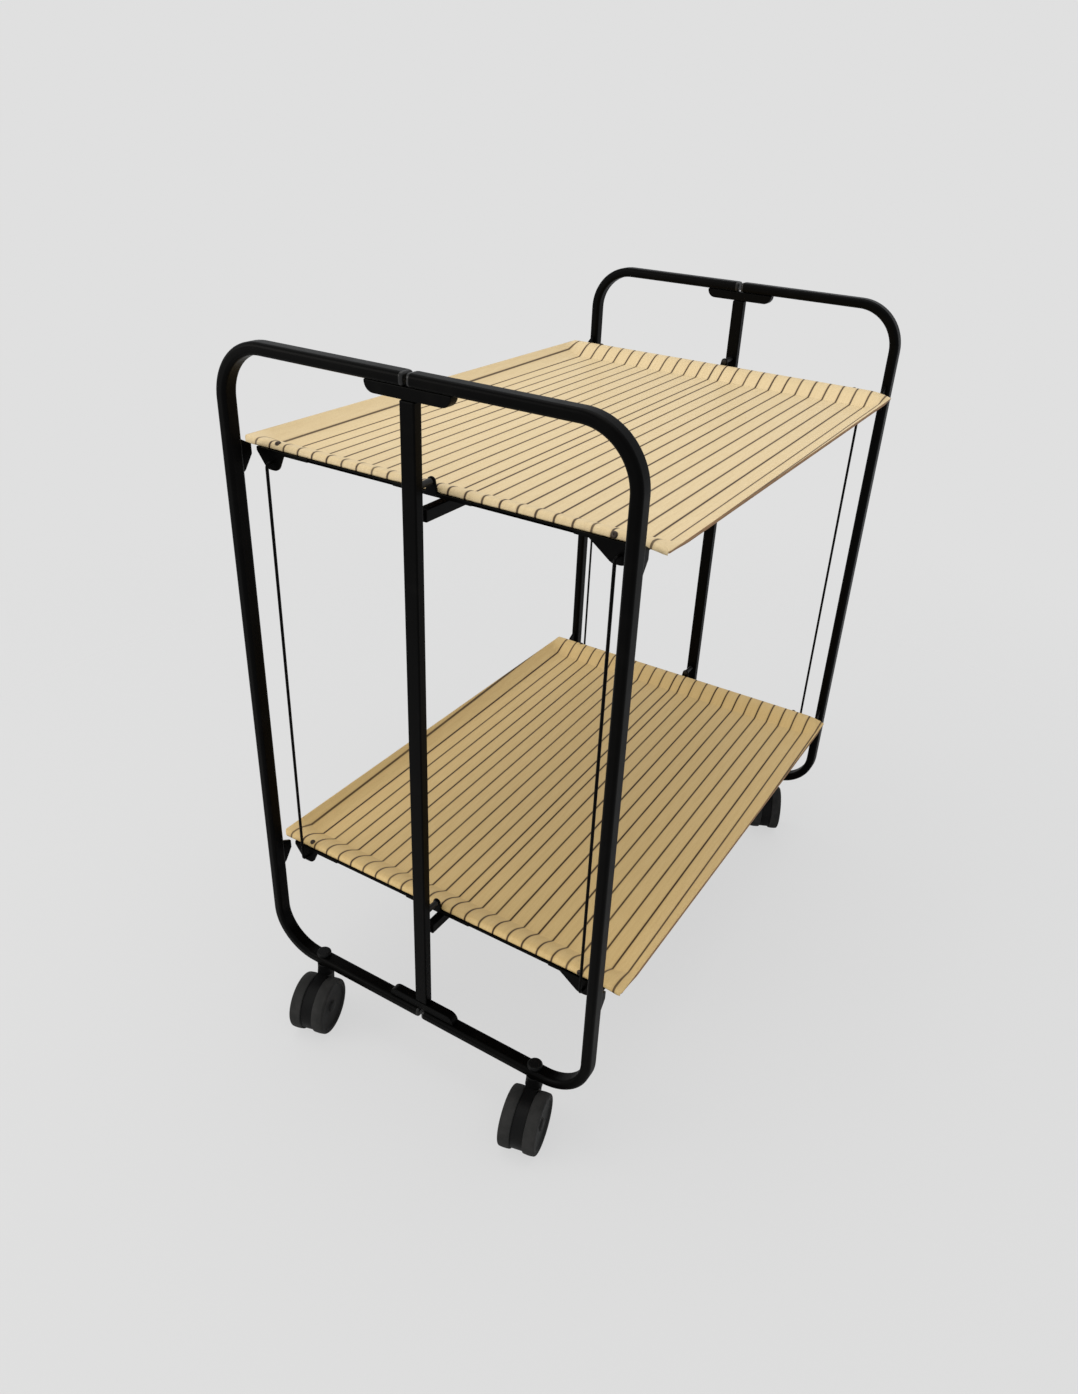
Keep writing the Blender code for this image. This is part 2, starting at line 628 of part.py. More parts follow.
# Posts, hinge blocks and the pins they carry
post = post_mesh()
block = hinge_block_mesh()
pivot_pin = pivot_pin_mesh()
top_face = TOP_Z - TUBE_WIDTH / 2 - SEAT_GAP
bottom_face = BOTTOM_Z + TUBE_WIDTH / 2 + SEAT_GAP
hinge_pin = cylinder_mesh(
    "hinge_pin", HINGE_PIN_RADIUS, -HINGE_PIN_SEAT, SEAT_GAP + TUBE_WIDTH, PIN_SIDES,
)
for end, end_sign in ENDS.items():
    inboard = 0 if end == "near" else math.pi
    x = end_sign * FRAME_HALF
    part(f"{end}_post", post, black_steel, trolley, (x, 0, 0), (0, 0, inboard))
    part(f"{end}_top_hinge_block", block, black_steel, trolley, (x, 0, top_face))
    part(f"{end}_bottom_hinge_block", block, black_steel, trolley, (x, 0, bottom_face), (math.pi, 0, 0))
    for side, side_sign in SIDES.items():
        y = side_sign * HINGE_Y
        part(f"{end}_{side}_top_hinge_pin", hinge_pin, bright_steel, trolley, (x, y, top_face))
        place = (x, y, bottom_face)
        part(f"{end}_{side}_bottom_hinge_pin", hinge_pin, bright_steel, trolley, place, (math.pi, 0, 0))
    for level, tray_z in LEVELS.items():
        place = (x, 0, tray_z + PIVOT_RISE)
        part(f"{end}_{level}_pivot_pin", pivot_pin, bright_steel, trolley, place, (0, 0, inboard))

# Half frames with their tray rests, casters and wheels
half_frame = half_frame_mesh()
rest = rest_mesh()
caster_body = caster_body_mesh()
axle = cylinder_mesh(
    "axle", AXLE_RADIUS, SEAT_GAP + AXLE_COVER - WHEEL_OUTER, WHEEL_OUTER - AXLE_COVER - SEAT_GAP, PIN_SIDES,
    ALONG_TROLLEY,
)
wheel = wheel_mesh()
for end, end_sign in ENDS.items():
    for side, side_sign in SIDES.items():
        corner = f"{end}_{side}"
        hinge = frame_at(f"{corner}_hinge", trolley, (end_sign * FRAME_HALF, side_sign * HINGE_Y, 0))
        turn = 0 if side == "left" else math.pi
        part(f"{corner}_half_frame", half_frame, black_steel, hinge, turn=(0, 0, turn))
        for level, tray_z in LEVELS.items():
            place = (0, side_sign * (TUBE_HALF - HINGE_Y), tray_z)
            inboard = 0 if end == "near" else math.pi
            part(f"{corner}_{level}_rest", rest, black_steel, hinge, place, (0, 0, inboard))
        heading = math.radians(CASTER_HEADINGS[end, side])
        swivel = frame_at(f"{corner}_swivel", hinge, (0, side_sign * (STEM_Y - HINGE_Y), 0), heading)
        part(f"{corner}_caster_body", caster_body, core_black, swivel)
        hub = (-CASTER_TRAIL, 0, WHEEL_RADIUS)
        part(f"{corner}_axle", axle, bright_steel, swivel, hub)
        part(f"{corner}_left_wheel", wheel, wheel_grey, swivel, hub)
        part(f"{corner}_right_wheel", wheel, wheel_grey, swivel, hub, (0, 0, math.pi))

# Trays with their rails, end bars and link rods
tray = tray_mesh()
end_bar = end_bar_mesh()
link_rod = link_rod_mesh()
rail_half = FRAME_HALF - RAIL_END_INSET
rail_top = TRAY_FLOOR - TRAY_THICKNESS - SEAT_GAP
rail = box_mesh(
    "rail", (-rail_half, -RAIL_WIDTH / 2, rail_top - RAIL_HEIGHT), (rail_half, RAIL_WIDTH / 2, rail_top),
)
for level, tray_z in LEVELS.items():
    pivot = frame_at(f"{level}_tray_pivot", trolley, (0, 0, tray_z + PIVOT_RISE))
    middle = (0, 0, -PIVOT_RISE)
    part(f"{level}_tray", tray, tray_wood, pivot, middle)
    part(f"{level}_tray_rail", rail, black_steel, pivot, middle)
    part(f"{level}_near_end_bar", end_bar, black_steel, pivot, (-FRAME_HALF, 0, -PIVOT_RISE))
    part(f"{level}_far_end_bar", end_bar, black_steel, pivot, (FRAME_HALF, 0, -PIVOT_RISE), (0, 0, math.pi))
    if level == "upper":
        for end, end_sign in ENDS.items():
            for side, side_sign in SIDES.items():
                hole = (end_sign * FRAME_HALF, side_sign * LUG_Y, LUG_HOLE_Z - PIVOT_RISE)
                inboard = 0 if end == "near" else math.pi
                part(f"{end}_{side}_link_rod", link_rod, black_steel, pivot, hole, (0, 0, inboard))
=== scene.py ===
# Folding serving trolley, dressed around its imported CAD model.
# Metres, +Z up. The near end is at -X and the left side at +Y.
import json
import math

import bmesh
import bpy
from mathutils import Matrix, Vector


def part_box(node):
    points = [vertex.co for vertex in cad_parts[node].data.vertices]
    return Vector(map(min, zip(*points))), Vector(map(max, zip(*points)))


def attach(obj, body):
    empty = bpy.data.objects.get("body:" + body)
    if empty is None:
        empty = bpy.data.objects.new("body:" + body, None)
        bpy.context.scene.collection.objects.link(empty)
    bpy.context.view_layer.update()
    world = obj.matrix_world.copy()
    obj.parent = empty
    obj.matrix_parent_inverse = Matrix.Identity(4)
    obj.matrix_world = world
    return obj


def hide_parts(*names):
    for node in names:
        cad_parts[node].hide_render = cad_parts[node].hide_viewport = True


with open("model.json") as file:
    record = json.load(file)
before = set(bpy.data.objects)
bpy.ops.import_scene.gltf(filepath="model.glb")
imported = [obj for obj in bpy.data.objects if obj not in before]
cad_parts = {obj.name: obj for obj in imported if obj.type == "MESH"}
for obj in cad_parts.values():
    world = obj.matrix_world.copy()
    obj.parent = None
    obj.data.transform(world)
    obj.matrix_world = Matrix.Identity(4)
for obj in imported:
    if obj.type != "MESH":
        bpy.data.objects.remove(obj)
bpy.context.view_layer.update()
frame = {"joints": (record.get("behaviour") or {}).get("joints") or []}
ENDS = {"near": -1, "far": 1}
SIDES = {"left": 1, "right": -1}
LEVELS = ("upper", "lower")
joint_place = {joint["name"]: Vector(joint["pos_m"]) for joint in frame["joints"]}


# Centre posts
# One upright flat steel bar in the middle of each end frame, rolled with eased
# edges and powder coated black. Its ends are welded to the hinge blocks.
POST_EDGE = 0.0015


class Value:
    """One output inside a finish, on which plain arithmetic adds Math nodes."""

    def __init__(self, finish, socket):
        self.finish = finish
        self.socket = socket

    def math(self, operation, *operands):
        return self.finish.node("ShaderNodeMath", {"operation": operation}, dict(enumerate(operands)))

    def __add__(self, other):
        return self.math("ADD", self, other)

    def __radd__(self, other):
        return self.math("ADD", other, self)

    def __sub__(self, other):
        return self.math("SUBTRACT", self, other)

    def __rsub__(self, other):
        return self.math("SUBTRACT", other, self)

    def __mul__(self, other):
        return self.math("MULTIPLY", self, other)

    def __rmul__(self, other):
        return self.math("MULTIPLY", other, self)

    def __truediv__(self, other):
        return self.math("DIVIDE", self, other)


class Finish:
    """A material in the making: its node tree and its Principled shader."""

    def __init__(self, name, **plain):
        self.material = bpy.data.materials.new(name)
        self.material.use_nodes = True
        self.tree = self.material.node_tree
        self.shader = self.tree.nodes["Principled BSDF"]
        for socket, value in plain.items():
            self.feed(self.shader.inputs[socket.replace("_", " ")], value)

    def feed(self, socket, value):
        if isinstance(value, Value):
            self.tree.links.new(value.socket, socket)
        elif socket.type == "RGBA":
            socket.default_value = (*value, 1)
        else:
            socket.default_value = value

    def node(self, kind, settings, values, output=0):
        made = self.tree.nodes.new(kind)
        for name, setting in settings.items():
            setattr(made, name, setting)
        for name, value in values.items():
            self.feed(made.inputs[name], value)
        return Value(self, made.outputs[output]) if made.outputs else made

    def place(self):
        return self.node("ShaderNodeTexCoord", {}, {}, "Object")

    def noise(self, place, scale, detail=3.0, stretch=(1, 1, 1)):
        if stretch != (1, 1, 1):
            place = self.node("ShaderNodeMapping", {}, {"Vector": place, "Scale": stretch})
        return self.node("ShaderNodeTexNoise", {}, {"Vector": place, "Scale": scale, "Detail": detail})

    def step(self, value, start, stop, low=0.0, high=1.0):
        """A smooth step from low to high as value goes from start to stop."""
        return self.node(
            "ShaderNodeMapRange", {"interpolation_type": "SMOOTHSTEP"},
            {0: value, 1: start, 2: stop, 3: low, 4: high},
        )

    def mix(self, share, one, other, way="MIX"):
        return self.node(
            "ShaderNodeMix", {"data_type": "RGBA", "blend_type": way}, {0: share, 6: one, 7: other}, 2,
        )

    def set(self, socket, value):
        self.feed(self.shader.inputs[socket], value)

    def bump(self, height, distance, strength=1.0):
        self.set("Normal", self.node(
            "ShaderNodeBump", {}, {"Height": height, "Distance": distance, "Strength": strength},
        ))


def steel_coat(name, colour, rubbed, roughness, sheen):
    """Black coating on steel: fine orange peel, cloudy gloss and soft rubbed patches."""
    coat = Finish(name, Metallic=0.0, IOR=1.5, Specular_IOR_Level=sheen)
    place = coat.place()
    cloud = coat.noise(place, 14, 4)
    rub = coat.step(coat.noise(place, 55, 5), 0.5, 0.78)
    peel = coat.noise(place, 700, 2)
    coat.set("Base Color", coat.mix(rub * 0.5, colour, rubbed))
    coat.set("Roughness", roughness + (cloud - 0.5) * 0.22 + rub * 0.06)
    coat.bump(peel, 0.00012, 0.35)
    return coat


def piece(name, shape, body, finish, nodes=(), sharp=38.0):
    """Puts a finished bmesh in the scene as one piece of one body."""
    mesh = bpy.data.meshes.new(name)
    shape.to_mesh(mesh)
    shape.free()
    mesh.shade_smooth()
    mesh.set_sharp_from_angle(angle=math.radians(sharp))
    mesh.materials.append(finish.material)
    made = bpy.data.objects.new(name, mesh)
    bpy.context.scene.collection.objects.link(made)
    shading = made.modifiers.new("even_shading", "WEIGHTED_NORMAL")
    shading.keep_sharp = True
    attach(made, body)
    if nodes:
        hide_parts(*nodes)
    return made


def block(shape, low, high):
    """A box between two corners; its new vertices."""
    size = high - low
    place = Matrix.Translation((low + high) / 2) @ Matrix.Diagonal((*size, 1))
    return bmesh.ops.create_cube(shape, size=1, matrix=place)["verts"]


def ease(shape, edges, radius, segments=2):
    """Rounds edges."""
    bmesh.ops.bevel(
        shape, geom=list(edges), offset=radius, segments=segments, profile=0.5,
        affect="EDGES", material=-1, clamp_overlap=True,
    )


black_coat = steel_coat("black_coat", (0.0010, 0.0009, 0.0008), (0.0032, 0.0029, 0.0025), 0.36, 0.045)
for end in ENDS:
    low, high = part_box(f"{end}_post")
    shape = bmesh.new()
    block(shape, low, high)
    ease(shape, shape.edges, POST_EDGE, 4)
    piece(f"{end}_centre_post", shape, "stand", black_coat, [f"{end}_post"])


# Hinge blocks
# A steel block welded across each end of a post, 83 mm long, with its corners
# away from the tube well rounded. The tube ends lie along its flat face.
BLOCK_CORNER = 0.009
BLOCK_EDGE = 0.0009
RIM_ANGLE = math.radians(60)
for end in ENDS:
    for level, toward_tube in (("top", 1), ("bottom", -1)):
        node = f"{end}_{level}_hinge_block"
        low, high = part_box(node)
        shape = bmesh.new()
        block(shape, low, high)
        away = low.z if toward_tube > 0 else high.z
        corners = [
            edge for edge in shape.edges
            if all(abs(v.co.z - away) < BLOCK_EDGE for v in edge.verts)
            and abs(edge.verts[0].co.y - edge.verts[1].co.y) < BLOCK_EDGE
        ]
        ease(shape, corners, BLOCK_CORNER, 8)
        rims = [edge for edge in shape.edges if edge.calc_face_angle(0) > RIM_ANGLE]
        ease(shape, rims, BLOCK_EDGE, 2)
        piece(f"{end}_{level}_block", shape, "stand", black_coat, [node])


# Hinge pins and tray pivots
# Plain turned steel. A hinge pin stands in each end of a block, flush with the
# tube, and a shouldered pin with a low riveted head carries each tray's ear.
PIN_SIDES = 32
PIN_CHAMFER = 0.0004
PIVOT_STEM = 0.0018
PIVOT_DEPTH = 0.006
PIVOT_GAP = 0.0003
HEAD_RADIUS = 0.0031
HEAD_RISE = 0.0009
EAR_PLATE = 0.0022


def turned(shape, profile, place, sides):
    """A profile of (radius, height) pairs spun about Z, closed, then placed."""
    line = [shape.verts.new((radius, 0, height)) for radius, height in profile]
    edges = [shape.edges.new(pair) for pair in zip(line, line[1:])]
    bmesh.ops.spin(
        shape, geom=line + edges, cent=(0, 0, 0), axis=(0, 0, 1), angle=math.tau,
        steps=sides, use_merge=True,
    )
    made = [v for v in shape.verts if not v.tag]
    bmesh.ops.remove_doubles(shape, verts=made, dist=0.00002)
    made = [v for v in shape.verts if not v.tag]
    bmesh.ops.transform(shape, matrix=place, verts=made)
    faces = {face for v in made for face in v.link_faces}
    bmesh.ops.recalc_face_normals(shape, faces=list(faces))
    for v in made:
        v.tag = True


def facing(axis, centre):
    """The place of a turned shape whose own Z lies along an axis."""
    return Matrix.Translation(centre) @ Vector(axis).to_track_quat("Z", "Y").to_matrix().to_4x4()


pin_steel = Finish("pin_steel", Metallic=1.0)
place = pin_steel.place()
turning = pin_steel.noise(place, 420, 3, (1, 1, 0.15))
pin_steel.set("Base Color", pin_steel.mix(turning, (0.34, 0.33, 0.32), (0.50, 0.49, 0.47)))
pin_steel.set("Roughness", 0.26 + turning * 0.18)
pin_steel.bump(turning, 0.00004, 0.4)

dark_pin = Finish("dark_pin", Metallic=0.5, Specular_IOR_Level=0.3)
place = dark_pin.place()
turning = dark_pin.noise(place, 420, 3, (1, 1, 0.15))
dark_pin.set("Base Color", dark_pin.mix(turning, (0.010, 0.010, 0.010), (0.030, 0.029, 0.028)))
dark_pin.set("Roughness", 0.34 + turning * 0.2)
dark_pin.bump(turning, 0.00004, 0.4)

for end, end_sign in ENDS.items():
    for side in SIDES:
        for level, way in (("top", 1), ("bottom", -1)):
            node = f"{end}_{side}_{level}_hinge_pin"
            low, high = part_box(node)
            middle = (low + high) / 2
            radius = (high.x - low.x) / 2
            half = (high.z - low.z) / 2
            shape = bmesh.new()
            profile = [
                (0, half - PIN_CHAMFER / 2), (radius - PIN_CHAMFER, half - PIN_CHAMFER / 2),
                (radius, half - 2 * PIN_CHAMFER), (radius, -half), (0, -half),
            ]
            turned(shape, profile, facing((0, 0, way), middle), PIN_SIDES)
            piece(f"{end}_{side}_{level}_pin", shape, "stand", black_coat, [node])
    for level in LEVELS:
        node = f"{end}_{level}_pivot_pin"
        low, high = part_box(node)
        centre = (low + high) / 2
        collar = (high.z - low.z) / 2
        post_low, post_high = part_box(f"{end}_post")
        post_face = post_high.x if end_sign < 0 else post_low.x
        inner = high.x if end_sign < 0 else low.x
        reach = abs(inner - post_face)
        ear_face = reach - EAR_PLATE - PIVOT_GAP
        profile = [
            (0, reach + HEAD_RISE), (HEAD_RADIUS * 0.45, reach + HEAD_RISE * 0.9),
            (HEAD_RADIUS * 0.8, reach + HEAD_RISE * 0.55), (HEAD_RADIUS, reach + HEAD_RISE * 0.1),
            (PIVOT_STEM, reach + HEAD_RISE * 0.1), (PIVOT_STEM, ear_face),
            (collar - PIN_CHAMFER, ear_face), (collar, ear_face - PIN_CHAMFER),
            (collar, PIVOT_GAP + PIN_CHAMFER), (collar - PIN_CHAMFER, PIVOT_GAP),
            (PIVOT_STEM, PIVOT_GAP), (PIVOT_STEM, -PIVOT_DEPTH), (0, -PIVOT_DEPTH),
        ]
        shape = bmesh.new()
        start = Vector((post_face, centre.y, centre.z))
        turned(shape, profile, facing((-end_sign, 0, 0), start), PIN_SIDES)
        piece(f"{end}_{level}_pivot", shape, "stand", dark_pin, [node])


# Half frames
# Four C-shaped bends of flattened steel tube, 16 by 11 mm, powder coated. Each
# turns on its two hinge pins, and a domed plastic plug closes each tube end.
TUBE_DEPTH = 0.016
TUBE_WIDTH = 0.011
TUBE_CORNER = 0.0037
BEND_RADIUS = 0.0485
BEND_STEPS = 20
TUBE_END = 0.005
PLUG_REACH = 0.0033
PLUG_ROUND = 0.0024
PLUG_PLAY = 0.0002


def flat_section(shape, width, depth, corner, place):
    """A rounded rectangle of one face; its edges."""
    made = bmesh.ops.create_grid(shape, x_segments=1, y_segments=1, size=0.5)["verts"]
    bmesh.ops.scale(shape, vec=(width, depth, 1), verts=made)
    bmesh.ops.bevel(
        shape, geom=made, offset=corner, segments=6, profile=0.5, affect="VERTICES",
        material=-1, clamp_overlap=True,
    )
    bmesh.ops.transform(shape, matrix=place, verts=shape.verts)
    return shape.edges[:]


def carry(shape, ring, moves):
    """Carries a ring of edges along straights and round bends, leaving tube behind."""
    for move in moves:
        if len(move) == 1:
            made = bmesh.ops.extrude_edge_only(shape, edges=ring)["geom"]
            verts = [v for v in made if isinstance(v, bmesh.types.BMVert)]
            bmesh.ops.translate(shape, vec=move[0], verts=verts)
            fresh = set(verts)
            ring = [
                e for e in made
                if isinstance(e, bmesh.types.BMEdge) and e.verts[0] in fresh and e.verts[1] in fresh
            ]
        else:
            centre, axis, angle, steps = move
            verts = list({v for e in ring for v in e.verts})
            last = bmesh.ops.spin(
                shape, geom=verts + ring, cent=centre, axis=axis, angle=angle, steps=steps,
            )["geom_last"]
            ring = [e for e in last if isinstance(e, bmesh.types.BMEdge)]
    return ring


def close(shape):
    """Closes every open end and turns all faces outwards."""
    bmesh.ops.holes_fill(shape, edges=[e for e in shape.edges if e.is_boundary], sides=0)
    bmesh.ops.recalc_face_normals(shape, faces=shape.faces[:])


plug_plastic = Finish("plug_plastic", Specular_IOR_Level=0.3)
place = plug_plastic.place()
moulded = plug_plastic.noise(place, 500, 3)
plug_plastic.set("Base Color", plug_plastic.mix(moulded, (0.006, 0.006, 0.006), (0.012, 0.011, 0.010)))
plug_plastic.set("Roughness", 0.24 + moulded * 0.16)
plug_plastic.bump(moulded, 0.00006, 0.3)

ACROSS = Matrix.Rotation(math.pi / 2, 4, "X")
for end, end_sign in ENDS.items():
    for side, side_sign in SIDES.items():
        corner = f"{end}_{side}"
        low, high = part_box(f"{corner}_half_frame")
        middle_x = (low.x + high.x) / 2
        top = high.z - TUBE_WIDTH / 2
        bottom = low.z + TUBE_WIDTH / 2
        outer = (high.y if side_sign > 0 else -low.y) - TUBE_WIDTH / 2
        inner = outer - BEND_RADIUS
        shape = bmesh.new()
        start = Matrix.Translation((middle_x, TUBE_END, top)) @ ACROSS
        ring = flat_section(shape, TUBE_DEPTH, TUBE_WIDTH, TUBE_CORNER, start)
        bmesh.ops.delete(shape, geom=shape.faces[:], context="FACES_ONLY")
        carry(shape, ring, [
            ((0, inner - TUBE_END, 0),),
            ((middle_x, inner, top - BEND_RADIUS), (1, 0, 0), -math.pi / 2, BEND_STEPS),
            ((0, 0, bottom - top + 2 * BEND_RADIUS),),
            ((middle_x, inner, bottom + BEND_RADIUS), (1, 0, 0), -math.pi / 2, BEND_STEPS),
            ((0, TUBE_END - inner, 0),),
        ])
        bmesh.ops.scale(shape, vec=(1, side_sign, 1), verts=shape.verts)
        close(shape)
        node = f"{corner}_half_frame"
        piece(f"{corner}_tube", shape, f"{corner}_frame", black_coat, [node])
        for level, z in (("top", top), ("bottom", bottom)):
            shape = bmesh.new()
            start = Matrix.Translation((middle_x, TUBE_END - PLUG_PLAY, z)) @ ACROSS
            flat_section(shape, TUBE_DEPTH - PLUG_PLAY, TUBE_WIDTH - PLUG_PLAY, TUBE_CORNER, start)
            made = bmesh.ops.extrude_face_region(shape, geom=shape.faces[:])["geom"]
            front = [v for v in made if isinstance(v, bmesh.types.BMVert)]
            bmesh.ops.translate(shape, vec=(0, -PLUG_REACH, 0), verts=front)
            fresh = set(front)
            rim = [e for e in shape.edges if e.verts[0] in fresh and e.verts[1] in fresh]
            ease(shape, rim, PLUG_ROUND, 5)
            bmesh.ops.scale(shape, vec=(1, side_sign, 1), verts=shape.verts)
            close(shape)
            piece(f"{corner}_{level}_plug", shape, f"{corner}_frame", plug_plastic)


# Tray rests
# Small steel plates welded to the inner face of each side tube at both tray
# heights, widest at the tray's own level and drawn in to rounded tips.
REST_TIP = 0.005
REST_ABOVE = 0.0154
REST_SHOULDER = 0.009
REST_EDGE = 0.0005
UPRIGHT = Matrix(((1, 0, 0, 0), (0, 0, 1, 0), (0, 1, 0, 0), (0, 0, 0, 1)))


def hull(shape, discs, corners, low, high, place, sides=40):
    """A plate whose outline is stretched round discs and corner points."""
    raw = bmesh.new()
    for centre_x, centre_y, radius in discs:
        bmesh.ops.create_cone(
            raw, cap_ends=True, segments=sides, radius1=radius, radius2=radius, depth=high - low,
            matrix=Matrix.Translation((centre_x, centre_y, (low + high) / 2)),
        )
    for x, y in corners:
        raw.verts.new((x, y, low))
        raw.verts.new((x, y, high))
    bmesh.ops.delete(raw, geom=raw.faces[:], context="FACES_ONLY")
    bmesh.ops.delete(raw, geom=raw.edges[:], context="EDGES_FACES")
    for made in raw.verts:
        shape.verts.new(place @ made.co)
    raw.free()
    fresh = [v for v in shape.verts if not v.tag]
    spent = bmesh.ops.convex_hull(shape, input=fresh)
    spare = set(spent["geom_interior"] + spent["geom_unused"])
    inside = [v for v in spare if isinstance(v, bmesh.types.BMVert)]
    bmesh.ops.delete(shape, geom=inside, context="VERTS")
    fresh = [v for v in shape.verts if not v.tag]
    edges = {edge for v in fresh for edge in v.link_edges}
    bmesh.ops.dissolve_limit(shape, angle_limit=math.radians(1), verts=fresh, edges=list(edges))
    for v in shape.verts:
        v.tag = True


for end, end_sign in ENDS.items():
    for side in SIDES:
        for level in LEVELS:
            node = f"{end}_{side}_{level}_rest"
            low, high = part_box(node)
            wall, reach = (low.x, high.x) if end_sign < 0 else (high.x, low.x)
            tray_z = high.z - REST_ABOVE
            shape = bmesh.new()
            discs = [(wall, high.z - REST_TIP, REST_TIP), (wall, low.z + REST_TIP, REST_TIP)]
            shoulder = [(reach, tray_z + REST_SHOULDER), (reach, tray_z)]
            hull(shape, discs, shoulder, low.y, high.y, UPRIGHT)
            whole = shape.verts[:] + shape.edges[:] + shape.faces[:]
            bmesh.ops.bisect_plane(
                shape, geom=whole, plane_co=(wall, 0, 0), plane_no=(end_sign, 0, 0), clear_outer=True,
            )
            close(shape)
            rims = [edge for edge in shape.edges if edge.calc_face_angle(0) > RIM_ANGLE]
            ease(shape, rims, REST_EDGE, 2)
            body = f"{end}_{side}_frame"
            piece(f"{end}_{side}_{level}_stop", shape, body, black_coat, [node])


# Casters
# Twin-wheel casters of moulded black plastic. A round core between the wheels
# runs up into a flared neck under the tube, and a low round cap closes the stem.
CORE_RADIUS = 0.029
CORE_HALF = 0.0064
CORE_TOP = 0.058
CORE_EDGE = 0.0007
CORE_SHOULDER = 0.0592
NECK_RADIUS = 0.00825
FOOT_RADIUS = 0.009
FOOT_HEIGHT = 0.0581
CAP_RADIUS = 0.0080
CAP_ROUND = 0.0024
CAP_STEPS = 6
CAP_SEAT = 0.0002
STEM_RADIUS = 0.004
NECK_SEAT = 0.0003
ROUND_SIDES = 64
CORE_SIDES = 96

core_plastic = Finish("core_plastic", Specular_IOR_Level=0.12)
place = core_plastic.place()
grain = core_plastic.noise(place, 620, 4)
haze = core_plastic.noise(place, 40, 3)
core_plastic.set("Base Color", core_plastic.mix(haze, (0.002, 0.002, 0.002), (0.005, 0.005, 0.005)))
core_plastic.set("Roughness", 0.36 + haze * 0.2)
core_plastic.bump(grain, 0.0001, 0.35)

for end in ENDS:
    for side in SIDES:
        corner = f"{end}_{side}"
        stem = joint_place[f"{corner}_swivel"].copy()
        hub = joint_place[f"{corner}_left_wheel_spin"].copy()
        trail = Vector((stem.x - hub.x, stem.y - hub.y, 0)).normalized()
        heading = Matrix.Rotation(math.atan2(trail.y, trail.x), 4, "Z")
        upright = Matrix.Translation((stem.x, stem.y, 0)) @ heading
        cap_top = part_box(f"{corner}_caster_body")[1].z
        tube_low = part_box(f"{corner}_half_frame")[0].z
        tube_over = tube_low + TUBE_WIDTH
        shape = bmesh.new()
        profile = [(0, cap_top)]
        for i in range(CAP_STEPS + 1):
            turn = math.pi / 2 * i / CAP_STEPS
            across = CAP_RADIUS - CAP_ROUND * (1 - math.sin(turn))
            profile.append((across, cap_top - CAP_ROUND * (1 - math.cos(turn))))
        profile += [
            (CAP_RADIUS - 0.0004, tube_over + CAP_SEAT),
            (STEM_RADIUS, tube_over + CAP_SEAT),
            (STEM_RADIUS, tube_low - NECK_SEAT),
            (NECK_RADIUS - 0.0005, tube_low - NECK_SEAT),
            (NECK_RADIUS, tube_low - 0.0008),
            (NECK_RADIUS, tube_low - 0.006),
            (NECK_RADIUS + 0.0002, tube_low - 0.009),
            (FOOT_RADIUS - 0.0001, FOOT_HEIGHT + 0.0014),
            (FOOT_RADIUS, FOOT_HEIGHT + 0.0004),
            (FOOT_RADIUS - 0.0004, FOOT_HEIGHT),
            (0, FOOT_HEIGHT),
        ]
        turned(shape, profile, upright, ROUND_SIDES)
        sideways = Matrix(((1, 0, 0, 0), (0, 0, -1, 0), (0, 1, 0, 0), (0, 0, 0, 1)))
        reach = (Vector((stem.x, stem.y, 0)) - Vector((hub.x, hub.y, 0))).length
        hull(
            shape, [(-reach, hub.z, CORE_RADIUS)],
            [(-NECK_RADIUS, CORE_SHOULDER), (NECK_RADIUS, CORE_SHOULDER)],
            -CORE_HALF, CORE_HALF, upright @ sideways, CORE_SIDES,
        )
        rims = [
            edge for edge in shape.edges
            if edge.calc_face_angle(0) > RIM_ANGLE and max(v.co.z for v in edge.verts) < CORE_TOP
        ]
        ease(shape, rims, CORE_EDGE, 2)
        bmesh.ops.recalc_face_normals(shape, faces=shape.faces[:])
        node = f"{corner}_caster_body"
        piece(f"{corner}_caster_core", shape, f"{corner}_caster", core_plastic, [node])


# Axles and wheels
# A steel axle carries two wheels of charcoal plastic, 62 mm across. Each has a
# soft crowned tread ring round a dished disc with a low hub in its middle.
WHEEL_RADIUS = 0.031
WHEEL_INNER = 0.0067
WHEEL_OUTER = 0.0197
TREAD_INNER = 0.0262
CROWN = 0.00035
SHOULDER = 0.0021
INNER_SHOULDER = 0.0012
AXLE_RADIUS = 0.0025
AXLE_INSET = 0.0038

tread = Finish("tread_rubber", Specular_IOR_Level=0.22)
place = tread.place()
pores = tread.noise(place, 850, 4)
scuff = tread.noise(place, 70, 5)
greyed = tread.step(scuff, 0.35, 0.7)
tread.set("Base Color", tread.mix(greyed, (0.017, 0.017, 0.016), (0.029, 0.028, 0.027)))
tread.set("Roughness", 0.62 + scuff * 0.22)
tread.bump(pores, 0.00025, 0.5)

disc = Finish("wheel_disc_plastic", Specular_IOR_Level=0.2)
place = disc.place()
pores = disc.noise(place, 600, 3)
haze = disc.noise(place, 50, 4)
disc.set("Base Color", disc.mix(haze, (0.006, 0.006, 0.006), (0.013, 0.013, 0.012)))
disc.set("Roughness", 0.4 + haze * 0.2)
disc.bump(pores, 0.00012, 0.4)

